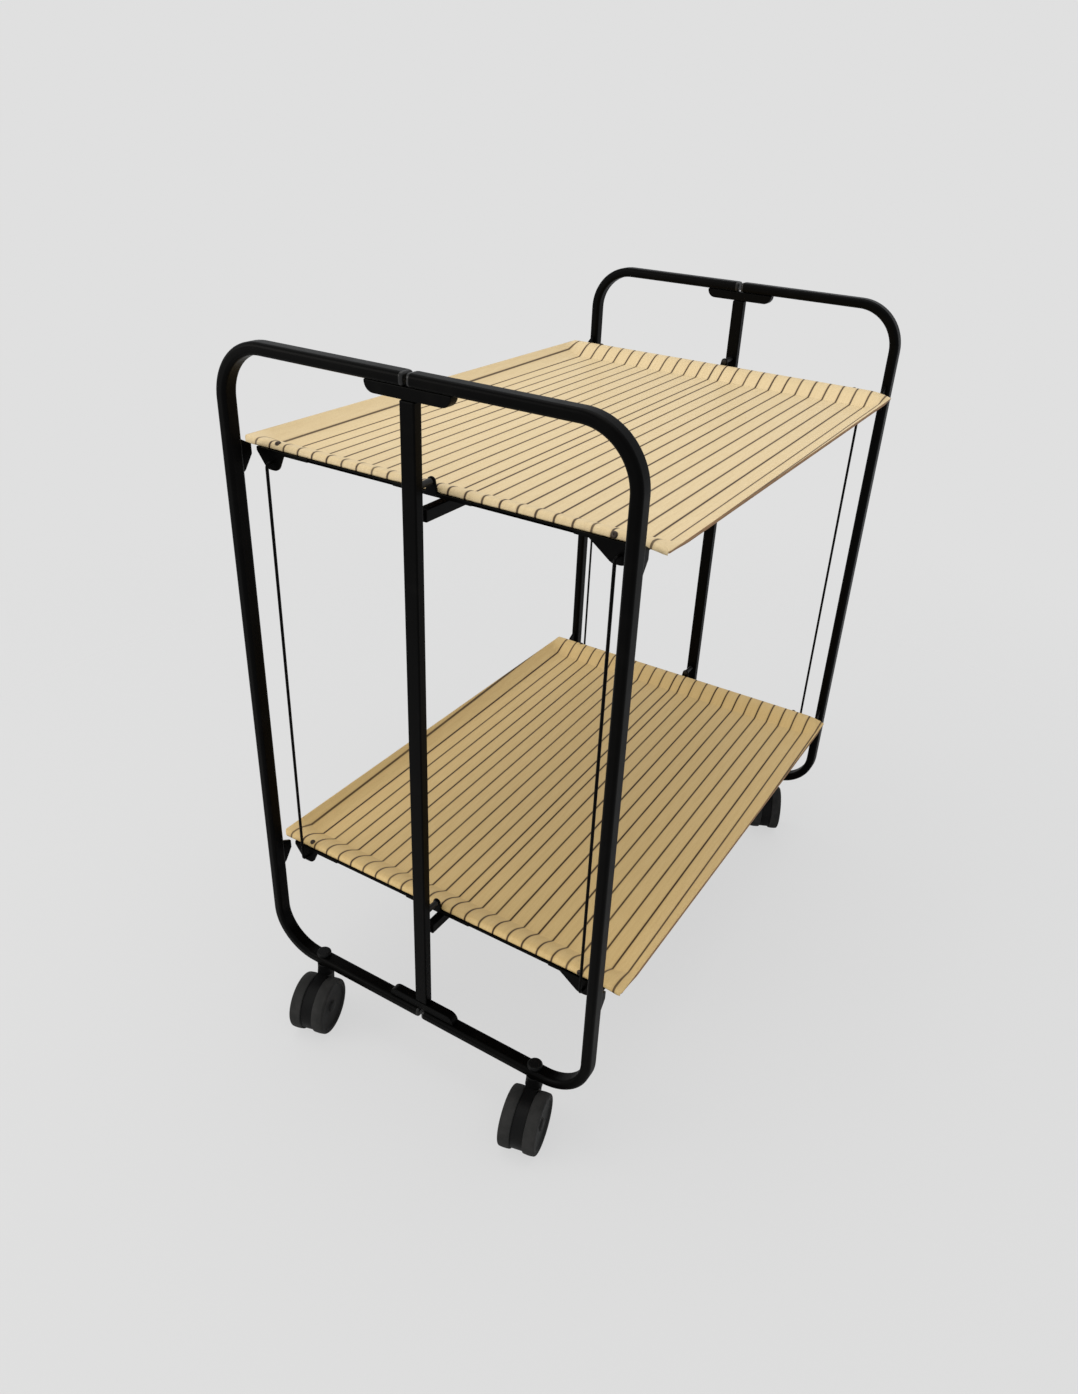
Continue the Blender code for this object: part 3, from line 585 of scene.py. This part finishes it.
for end in ENDS:
    for side in SIDES:
        corner = f"{end}_{side}"
        spin = next(j for j in frame["joints"] if j["name"] == f"{corner}_left_wheel_spin")
        hub = Vector(spin["pos_m"])
        axis = Vector(spin["axis"])
        shape = bmesh.new()
        half = WHEEL_OUTER - AXLE_INSET
        profile = [(0, half), (AXLE_RADIUS - PIN_CHAMFER, half), (AXLE_RADIUS, half - PIN_CHAMFER)]
        profile += [(radius, -height) for radius, height in reversed(profile)]
        turned(shape, profile, facing(axis, hub), PIN_SIDES)
        node = f"{corner}_axle"
        piece(f"{corner}_wheel_axle", shape, f"{corner}_caster", pin_steel, [node])
        for hand, way in (("left", 1), ("right", -1)):
            node = f"{corner}_{hand}_wheel"
            place = facing(axis * way, hub)
            width = WHEEL_OUTER - WHEEL_INNER
            shape = bmesh.new()
            profile = [(TREAD_INNER, WHEEL_OUTER - 0.0004), (TREAD_INNER + 0.0003, WHEEL_OUTER - 0.0001)]
            profile.append((TREAD_INNER + 0.0009, WHEEL_OUTER))
            for i in range(7):
                turn = math.pi / 2 * i / 6
                profile.append((
                    WHEEL_RADIUS - CROWN - SHOULDER * (1 - math.sin(turn)),
                    WHEEL_OUTER - SHOULDER * (1 - math.cos(turn)),
                ))
            profile.append((WHEEL_RADIUS - CROWN * 0.25, WHEEL_OUTER - width * 0.34))
            profile.append((WHEEL_RADIUS, WHEEL_OUTER - width * 0.52))
            profile.append((WHEEL_RADIUS - CROWN * 0.3, WHEEL_OUTER - width * 0.72))
            for i in range(5):
                turn = math.pi / 2 * i / 4
                profile.append((
                    WHEEL_RADIUS - CROWN - INNER_SHOULDER * (1 - math.cos(turn)),
                    WHEEL_INNER + INNER_SHOULDER * (1 - math.sin(turn)),
                ))
            profile.append((TREAD_INNER, WHEEL_INNER))
            profile.append(profile[0])
            turned(shape, profile, place, ROUND_SIDES)
            piece(f"{node}_tread", shape, f"{node}_body", tread, [node])
            shape = bmesh.new()
            rim = TREAD_INNER - 0.0001
            profile = [
                (0, WHEEL_OUTER - 0.0004), (0.0045, WHEEL_OUTER - 0.0005),
                (0.0058, WHEEL_OUTER - 0.0008), (0.0064, WHEEL_OUTER - 0.0014),
                (0.0067, WHEEL_OUTER - 0.0022), (0.0076, WHEEL_OUTER - 0.0026),
                (0.0150, WHEEL_OUTER - 0.0027), (0.0215, WHEEL_OUTER - 0.0024),
                (0.0238, WHEEL_OUTER - 0.0021), (0.0246, WHEEL_OUTER - 0.0015),
                (0.0250, WHEEL_OUTER - 0.0007), (0.0256, WHEEL_OUTER - 0.0003),
                (rim, WHEEL_OUTER - 0.0004), (rim, WHEEL_INNER + 0.0002),
                (0.0040, WHEEL_INNER + 0.0002), (0.0028, WHEEL_INNER + 0.0002),
                (0.0028, WHEEL_OUTER - 0.0035), (0, WHEEL_OUTER - 0.0035),
            ]
            turned(shape, profile, place, ROUND_SIDES)
            piece(f"{node}_disc", shape, f"{node}_body", disc, [node])


# Trays
# Thin wood-look laminate sheet with fine dark lines along its length. On the lower
# tray the colour is multiplied warmer and darker as painted shade, standing in for the
# shade and warm reflected light under the upper tray. Its ends are rolled over and
# down and its long sides swept up, the right one a little less.
SHEET = 0.0025
SEAT_GAP = 0.0003
RIM_RISE = 0.012
TRAY_DEPTH = 0.0135
ROLL_RADIUS = 0.0045
ROLL_LIP = 0.0065
ROLL_RUN = 0.029
ROLL_EASE = 1.15
SIDE_RUN = 0.028
TRAY_CORNER = 0.005
ROLL_STEPS = 8
WAVE_STEPS = 18
SIDE_STEPS = 12
CORNER_STEPS = 5
SIDE_ALLOWANCE = 0.0018
RIGHT_LIFT = 0.65
FLOOR_COLUMNS = 24
FLOOR_ROWS = 12
LINE_PITCH = 0.0167
LINE_HALF = 0.00102
LINE_SLANT = {"upper": 0.014, "lower": 0.022}
LINE_START = {"upper": 0.1, "lower": 0.0}
LINE_SPREAD = {"upper": 1.0, "lower": 0.972}
MIDDLE_HALF = 0.00625
MIDDLE_OFFSET = 0.00325

straw = Finish("striped_laminate", Specular_IOR_Level=0.35)
place = straw.place()
laid = straw.node("ShaderNodeUVMap", {"uv_map": "stripes"}, {})
along = straw.node("ShaderNodeSeparateXYZ", {}, {0: laid}, 0)
across = straw.node("ShaderNodeSeparateXYZ", {}, {0: laid}, 1)
flat = straw.node("ShaderNodeCombineXYZ", {}, {0: along, 1: across, 2: 0.0})
wander = straw.noise(flat, 9, 2, (0.35, 6, 1))
drift = across + (wander - 0.5) * 0.0009 + MIDDLE_OFFSET
hand = drift.math("SIGN", drift)
bands = (drift.math("ABSOLUTE", drift) - MIDDLE_HALF) / LINE_PITCH + 0.5
index = bands.math("FLOOR", bands)
offset = (bands - index - 0.5) * LINE_PITCH
distance = offset.math("ABSOLUTE", offset)
chance = straw.node("ShaderNodeTexWhiteNoise", {"noise_dimensions": "1D"}, {"W": index * hand + 7.3})
strip = (bands + 0.5).math("FLOOR", bands + 0.5) * hand + 40.6
strip_chance = straw.node("ShaderNodeTexWhiteNoise", {"noise_dimensions": "1D"}, {"W": strip})
ink = straw.noise(flat, 26, 4, (0.5, 9, 1))
darkness = (0.9 + chance * 0.1) * straw.step(ink, 0.22, 0.52, 0.85, 1.0)
line = straw.step(distance, LINE_HALF * 0.6, LINE_HALF * 1.35, 1.0, 0.0) * darkness
halo = straw.step(distance, LINE_HALF, LINE_HALF * 3.2, 1.0, 0.0) * darkness * 0.2
fibre = straw.noise(flat, 300, 4, (0.12, 1.4, 1))
speck = straw.noise(place, 1500, 2)
cloud = straw.noise(flat, 12, 3, (0.5, 1.6, 1))
pale = straw.mix(strip_chance * 0.5 + cloud * 0.5, (0.790, 0.624, 0.359), (0.832, 0.658, 0.388))
warm = straw.mix(straw.step(fibre, 0.3, 0.75) * 0.32, pale, (0.690, 0.500, 0.255))
dotted = straw.mix(straw.step(speck, 0.42, 0.66) * 0.36, warm, (0.600, 0.430, 0.220))
haloed = straw.mix(halo, dotted, (0.42, 0.25, 0.09))
lined = straw.mix(line, haloed, (0.045, 0.021, 0.007))
# Painted shade: below 0.35 m, on the lower tray, the colour is multiplied warmer and darker for the
# shade and warm reflected light under the upper tray.
height = straw.node("ShaderNodeSeparateXYZ", {}, {0: place}, 2)
painted_lower_tray_shade = straw.mix(straw.step(height, 0.35, 0.55), (1.0, 0.91, 0.69), (1.0, 1.0, 1.0))
straw.set("Base Color", straw.mix(1.0, lined, painted_lower_tray_shade, "MULTIPLY"))
straw.set("Roughness", 0.40 + fibre * 0.16 + line * 0.12)
straw.bump(fibre * 0.6 + speck * 0.4 - line * 1.2, 0.00006, 0.55)

edge_wood = Finish("cut_edge", Specular_IOR_Level=0.3)
place = edge_wood.place()
layers = edge_wood.noise(place, 260, 3, (0.2, 0.2, 9))
layer = edge_wood.step(layers, 0.35, 0.65)
edge_wood.set("Base Color", edge_wood.mix(layer, (0.20, 0.10, 0.045), (0.36, 0.21, 0.10)))
edge_wood.set("Roughness", 0.55 + layers * 0.2)
edge_wood.bump(layers, 0.0001, 0.5)

backing = Finish("tray_backing", Specular_IOR_Level=0.3)
place = backing.place()
press = backing.noise(place, 420, 4, (0.3, 1.6, 1))
mottle = backing.noise(place, 18, 4)
shade = mottle * 0.6 + press * 0.4
backing.set("Base Color", backing.mix(shade, (0.115, 0.066, 0.036), (0.175, 0.104, 0.058)))
backing.set("Roughness", 0.46 + press * 0.2)
backing.bump(press, 0.0001, 0.5)

for level in LEVELS:
    low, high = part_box(f"{level}_tray")
    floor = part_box(f"{level}_tray_rail")[1].z + SEAT_GAP + SHEET
    centre_x = (low.x + high.x) / 2
    half_x = (high.x - low.x) / 2
    half_y = (high.y - low.y) / 2 - SIDE_ALLOWANCE
    ends = [(0, ROLL_LIP - RIM_RISE + TRAY_DEPTH)]
    for i in range(ROLL_STEPS + 1):
        turn = math.pi / 2 * i / ROLL_STEPS
        fall = ROLL_RADIUS * (1 - math.sin(turn))
        ends.append((ROLL_RADIUS * (1 - math.cos(turn)), TRAY_DEPTH - fall))
    for i in range(1, WAVE_STEPS + 1):
        share = i / WAVE_STEPS
        rise = TRAY_DEPTH * max(0, math.cos(math.pi / 2 * share)) ** ROLL_EASE
        ends.append((ROLL_RADIUS + ROLL_RUN * share, rise))
    columns = [(-half_x + run, run, rise) for run, rise in ends]
    floor_start = ends[-1][0]
    for i in range(1, FLOOR_COLUMNS):
        run = floor_start + (2 * half_x - 2 * floor_start) * i / FLOOR_COLUMNS
        columns.append((-half_x + run, min(run, 2 * half_x - run), 0))
    columns += [(half_x - run, run, rise) for run, rise in reversed(ends)]
    sides = [TRAY_CORNER * i / CORNER_STEPS for i in range(CORNER_STEPS)]
    sides += [TRAY_CORNER + (SIDE_RUN - TRAY_CORNER) * i / SIDE_STEPS for i in range(SIDE_STEPS + 1)]
    rows = [(-half_y + run, run) for run in sides]
    for i in range(1, FLOOR_ROWS):
        rows.append((-half_y + SIDE_RUN + 2 * (half_y - SIDE_RUN) * i / FLOOR_ROWS, SIDE_RUN))
    rows += [(half_y - run, run) for run in reversed(sides)]
    shape = bmesh.new()
    bmesh.ops.create_grid(shape, x_segments=len(columns) - 1, y_segments=len(rows) - 1, size=1)
    for v in shape.verts:
        x, run, rise = columns[round((v.co.x + 1) / 2 * (len(columns) - 1))]
        y, side_run = rows[round((v.co.y + 1) / 2 * (len(rows) - 1))]
        swept = max(0, 1 - side_run / SIDE_RUN) ** 2
        sag = 1 - (1 - RIGHT_LIFT) * swept if y < 0 else 1
        held = 1 if run < ROLL_RADIUS else rise / TRAY_DEPTH
        corner_x = max(0, TRAY_CORNER - run)
        corner_y = max(0, TRAY_CORNER - side_run)
        if corner_x and corner_y:
            pull = max(corner_x, corner_y) / math.hypot(corner_x, corner_y)
            x -= math.copysign(corner_x * (1 - pull), x)
            y -= math.copysign(corner_y * (1 - pull), y)
        v.co = (centre_x + x, y, floor + sag * (rise + TRAY_DEPTH * swept * (1 - held)))
    bmesh.ops.recalc_face_normals(shape, faces=shape.faces[:])
    if sum(face.normal.z for face in shape.faces) < 0:
        bmesh.ops.reverse_faces(shape, faces=shape.faces[:])
    laid = shape.loops.layers.uv.new("stripes")
    for face in shape.faces:
        for loop in face.loops:
            x, y, z = loop.vert.co
            slant = LINE_SLANT[level] * (x - LINE_START[level])
            loop[laid].uv = (x, (y - slant) * LINE_SPREAD[level])
    made = piece(
        f"{level}_tray_sheet", shape, f"{level}_tray_assembly", straw, [f"{level}_tray"],
    )
    made.data.materials.append(backing.material)
    made.data.materials.append(edge_wood.material)
    wall = made.modifiers.new("sheet", "SOLIDIFY")
    wall.thickness = SHEET
    wall.offset = -1
    wall.use_even_offset = True
    wall.material_offset = 1
    wall.material_offset_rim = 2
    made.modifiers.move(1, 0)


# Tray rails
# A black steel bar under the middle of each tray, from end bar to end bar, which
# keeps the thin sheet from sagging. Its edges are eased and its ends cut square.
RAIL_EDGE = 0.0012
for level in LEVELS:
    low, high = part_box(f"{level}_tray_rail")
    shape = bmesh.new()
    block(shape, low, high)
    ease(shape, shape.edges, RAIL_EDGE, 3)
    piece(
        f"{level}_centre_rail", shape, f"{level}_tray_assembly", black_coat,
        [f"{level}_tray_rail"],
    )


# End bars
# A rolled angle bar under each end of a tray. A plate welded to it has a round
# ear on the pivot pin, and two hanging lugs take the hooks of the link rods.
BAR_HALF = 0.196
BAR_RISE = 0.003
BAR_NEAR = 0.0252
BAR_FAR = 0.0420
BAR_FOOT = 0.0313
BAR_WEB = 0.0023
TOE_TOP = 0.0062
EAR_RADIUS = 0.004
EAR_RISE = 0.0155
EAR_FOOT = 0.0058
BAND_TOP = 0.0064
BAND_HALF = 0.040
LUG_Y = 0.1755
LUG_HOLE = -0.0039
LUG_TIP = 0.0085
LUG_TIP_RUN = 0.004
LUG_LONG = {"left": 0.0195, "right": 0.0275}
LUG_SHORT = 0.0125
LUG_BAND_INNER = 0.041
LUG_BAND_OUTER = 0.020
PLATE_INNER = 0.0262
PLATE_OUTER = 0.0240
PLATE_SKIN = 0.0001
PLATE_EDGE = 0.0005
ACROSS_END = Matrix(((0, 0, 1, 0), (1, 0, 0, 0), (0, 1, 0, 0), (0, 0, 0, 1)))

for level in LEVELS:
    tray_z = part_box(f"{level}_tray_rail")[1].z + SEAT_GAP + SHEET + TRAY_DEPTH - RIM_RISE
    for end, end_sign in ENDS.items():
        node = f"{level}_{end}_end_bar"
        post_low, post_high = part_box(f"{end}_post")
        plane = (post_low.x + post_high.x) / 2
        inboard = Matrix.Translation((plane, 0, tray_z)) @ Matrix.Diagonal((-end_sign, -end_sign, 1, 1))
        across = inboard @ ACROSS_END
        plate = (PLATE_OUTER + PLATE_SKIN, PLATE_INNER - PLATE_SKIN)
        shape = bmesh.new()
        for near_x, far_x, low_y, high_y, low_z, high_z in (
            (BAR_NEAR, BAR_FAR, -BAR_HALF, BAR_HALF, BAR_RISE, BAR_RISE + BAR_WEB),
            (BAR_NEAR, BAR_FOOT, -BAR_HALF, BAR_HALF, BAR_RISE, TOE_TOP),
            (*plate, -BAND_HALF, BAND_HALF, BAR_RISE, BAND_TOP),
            (*plate, LUG_Y - LUG_BAND_INNER, LUG_Y + LUG_LONG["left"], BAR_RISE, BAND_TOP),
            (*plate, -LUG_Y - LUG_BAND_OUTER, -LUG_Y + LUG_BAND_INNER, BAR_RISE, BAND_TOP),
        ):
            made = block(shape, Vector((near_x, low_y, low_z)), Vector((far_x, high_y, high_z)))
            bmesh.ops.transform(shape, matrix=inboard, verts=made)
            for v in made:
                v.tag = True
        foot = [(-EAR_FOOT, BAND_TOP), (EAR_FOOT, BAND_TOP), (-EAR_FOOT, BAR_RISE), (EAR_FOOT, BAR_RISE)]
        hull(shape, [(0, EAR_RISE, EAR_RADIUS)], foot, PLATE_OUTER, PLATE_INNER, across)
        for side, side_sign in SIDES.items():
            middle = side_sign * LUG_Y
            long_end = middle + LUG_LONG[side]
            hull(
                shape, [(middle, LUG_HOLE, LUG_TIP), (middle + LUG_TIP_RUN, LUG_HOLE, LUG_TIP)],
                [(middle - LUG_SHORT, BAND_TOP), (long_end, BAND_TOP),
                 (middle - LUG_SHORT, BAR_RISE), (long_end, BAR_RISE)],
                PLATE_OUTER, PLATE_INNER, across,
            )
        bmesh.ops.recalc_face_normals(shape, faces=shape.faces[:])
        rims = [edge for edge in shape.edges if edge.calc_face_angle(0) > RIM_ANGLE]
        ease(shape, rims, PLATE_EDGE, 2)
        body = f"{level}_tray_assembly"
        piece(f"{level}_{end}_angle_bar", shape, body, black_coat, [node])


# Tray screws
# Small dark screws through the rolled ends of each tray near its corners, which
# hold the sheet to the angle bar behind it.
SCREW_Y = {"left": 0.1735, "right": 0.168}
SCREW_TURN = {"left": 74.0, "right": 27.0}
SCREW_RADIUS = 0.0028
SCREW_SIDES = 24
screw_steel = Finish("dark_screw", Metallic=0.6)
place = screw_steel.place()
worn = screw_steel.noise(place, 500, 3)
screw_steel.set("Base Color", screw_steel.mix(worn, (0.030, 0.020, 0.014), (0.075, 0.055, 0.040)))
screw_steel.set("Roughness", 0.35 + worn * 0.25)
screw_steel.bump(worn, 0.00005, 0.4)
for level in LEVELS:
    low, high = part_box(f"{level}_tray")
    for end, end_sign in ENDS.items():
        face = low.x if end_sign < 0 else high.x
        for side, side_sign in SIDES.items():
            tilt = math.radians(SCREW_TURN[side])
            inset = ROLL_RADIUS * (1 - math.cos(tilt))
            seat_z = high.z - ROLL_RADIUS * (1 - math.sin(tilt))
            shape = bmesh.new()
            start = Vector((face - end_sign * inset, side_sign * SCREW_Y[side], seat_z))
            way = Vector((end_sign * math.cos(tilt), 0, math.sin(tilt)))
            profile = [
                (0, 0.0006), (0.0007, 0.0006), (0.0009, 0.0013), (0.0017, 0.0012),
                (0.0024, 0.0008), (SCREW_RADIUS, 0.0002), (SCREW_RADIUS, -0.0006), (0, -0.0006),
            ]
            turned(shape, profile, facing(way, start), SCREW_SIDES)
            body = f"{level}_tray_assembly"
            piece(f"{level}_{end}_{side}_screw", shape, body, screw_steel)


# Link rods
# Black steel wire, 3 mm thick, with a hook bent at each end. The hooks sit in
# the lugs of both trays, so the lower tray tips together with the upper one.
ROD_RADIUS = 0.0015
ROD_INSET = 0.016
ROD_BEND = 0.004
HOOK_END = 0.0297
ROD_STEPS = 8
rod_coat = steel_coat("rod_coat", (0.0012, 0.0011, 0.0010), (0.0035, 0.0032, 0.0028), 0.34, 0.05)
for end, end_sign in ENDS.items():
    for side, side_sign in SIDES.items():
        corner = f"{end}_{side}"
        hole = joint_place[f"{corner}_rod_pivot"].copy()
        low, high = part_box(f"{corner}_link_rod")
        drop = high.z - low.z - 2 * ROD_RADIUS
        shape = bmesh.new()
        start = Matrix.Translation((HOOK_END, 0, 0)) @ Matrix.Rotation(math.pi / 2, 4, "Y")
        bmesh.ops.create_circle(shape, cap_ends=False, segments=16, radius=ROD_RADIUS, matrix=start)
        bend = ROD_INSET + ROD_BEND
        carry(shape, shape.edges[:], [
            ((bend - HOOK_END, 0, 0),),
            ((bend, 0, -ROD_BEND), (0, 1, 0), -math.pi / 2, ROD_STEPS),
            ((0, 0, 2 * ROD_BEND - drop),),
            ((bend, 0, ROD_BEND - drop), (0, 1, 0), -math.pi / 2, ROD_STEPS),
            ((HOOK_END - bend, 0, 0),),
        ])
        close(shape)
        inboard = Matrix.Diagonal((-end_sign, 1, 1, 1))
        spot = Matrix.Translation((hole.x, hole.y, high.z - ROD_RADIUS)) @ inboard
        bmesh.ops.transform(shape, matrix=spot, verts=shape.verts)
        bmesh.ops.recalc_face_normals(shape, faces=shape.faces[:])
        node = f"{corner}_link_rod"
        piece(f"{corner}_wire_rod", shape, f"{corner}_rod", rod_coat, [node])


# Studio
# A pale floor that fades into the backdrop, one large soft light overhead, a
# weaker one from the left, and the camera at the photograph's viewpoint.
FLOOR_HALF = 6.0
BACKDROP = (0.745, 0.745, 0.745)
FADE_START = 0.7
FADE_END = 1.7
FLOOR_VEIL = 0.8
SKY = (0.96, 0.98, 1.0)
SKY_STRENGTH = 0.70

shape = bmesh.new()
bmesh.ops.create_grid(shape, x_segments=1, y_segments=1, size=FLOOR_HALF)
mesh = bpy.data.meshes.new("studio_floor")
shape.to_mesh(mesh)
shape.free()
paper = Finish("floor_paper", Specular_IOR_Level=0.1, Roughness=0.9, Base_Color=BACKDROP)
radius = paper.node("ShaderNodeVectorMath", {"operation": "LENGTH"}, {0: paper.place()}, 1)
fade = paper.step(radius, FADE_START, FADE_END)
camera_ray = paper.node("ShaderNodeLightPath", {}, {}, "Is Camera Ray")
glow = paper.node("ShaderNodeEmission", {}, {"Color": BACKDROP, "Strength": 1.0})
clear = paper.node("ShaderNodeBsdfTransparent", {}, {})
lit = Value(paper, paper.shader.outputs[0])
veiled = paper.node("ShaderNodeMixShader", {}, {0: camera_ray * FLOOR_VEIL, 1: lit, 2: glow})
faded = paper.node("ShaderNodeMixShader", {}, {0: fade, 1: veiled, 2: clear})
paper.feed(paper.tree.nodes["Material Output"].inputs["Surface"], faded)
mesh.materials.append(paper.material)
studio_floor = bpy.data.objects.new("studio_floor", mesh)
bpy.context.scene.collection.objects.link(studio_floor)


class Sky(Finish):
    """The world's node tree, filled with the same method as a finish."""

    def __init__(self, name):
        world = bpy.data.worlds.new(name)
        world.use_nodes = True
        bpy.context.scene.world = world
        self.tree = world.node_tree
        self.tree.nodes.clear()


sky = Sky("studio")
seen = sky.node("ShaderNodeLightPath", {}, {}, "Is Camera Ray")
through = sky.node("ShaderNodeLightPath", {}, {}, "Is Transmission Ray")
shown_to = seen.math("MAXIMUM", seen, through)
light = sky.node("ShaderNodeBackground", {}, {"Color": SKY, "Strength": SKY_STRENGTH})
shown = sky.node("ShaderNodeBackground", {}, {"Color": BACKDROP, "Strength": 1.0})
join = sky.node("ShaderNodeMixShader", {}, {0: shown_to, 1: light, 2: shown})
sky.node("ShaderNodeOutputWorld", {}, {"Surface": join})


def lamp(name, place, target, size, power, colour):
    """A square soft light aimed at a point."""
    data = bpy.data.lights.new(name, "AREA")
    data.shape = "SQUARE"
    data.size = size
    data.energy = power
    data.color = colour
    made = bpy.data.objects.new(name, data)
    made.location = place
    made.rotation_euler = (Vector(target) - Vector(place)).to_track_quat("-Z", "Y").to_euler()
    bpy.context.scene.collection.objects.link(made)


lamp("overhead", (-0.1, 0.1, 2.6), (0, 0, 0.5), 1.8, 17, (1.0, 0.97, 0.92))
lamp("left_fill", (-2.0, 1.8, 1.3), (0, 0, 0.4), 1.4, 19, (1.0, 0.96, 0.90))

LENS = 26.47
YAW = 29.504
PITCH = -29.476
ROLL_ANGLE = 3.259
camera_data = bpy.data.cameras.new("photo_view")
camera_data.lens = LENS
camera_data.sensor_width = 36
camera_data.shift_x = -0.0154
camera_data.shift_y = -0.0089
camera_data.clip_start = 0.01
camera = bpy.data.objects.new("photo_view", camera_data)
yaw = math.radians(YAW)
pitch = math.radians(PITCH)
forward = Vector((math.cos(pitch) * math.cos(yaw), math.cos(pitch) * math.sin(yaw), math.sin(pitch)))
aim = forward.to_track_quat("-Z", "Y").to_matrix() @ Matrix.Rotation(math.radians(ROLL_ANGLE), 3, "Z")
camera.rotation_euler = aim.to_euler()
camera.location = (-0.9396, -0.4924, 0.9264)
bpy.context.scene.collection.objects.link(camera)
bpy.context.scene.camera = camera
bpy.context.scene.view_settings.view_transform = "Standard"
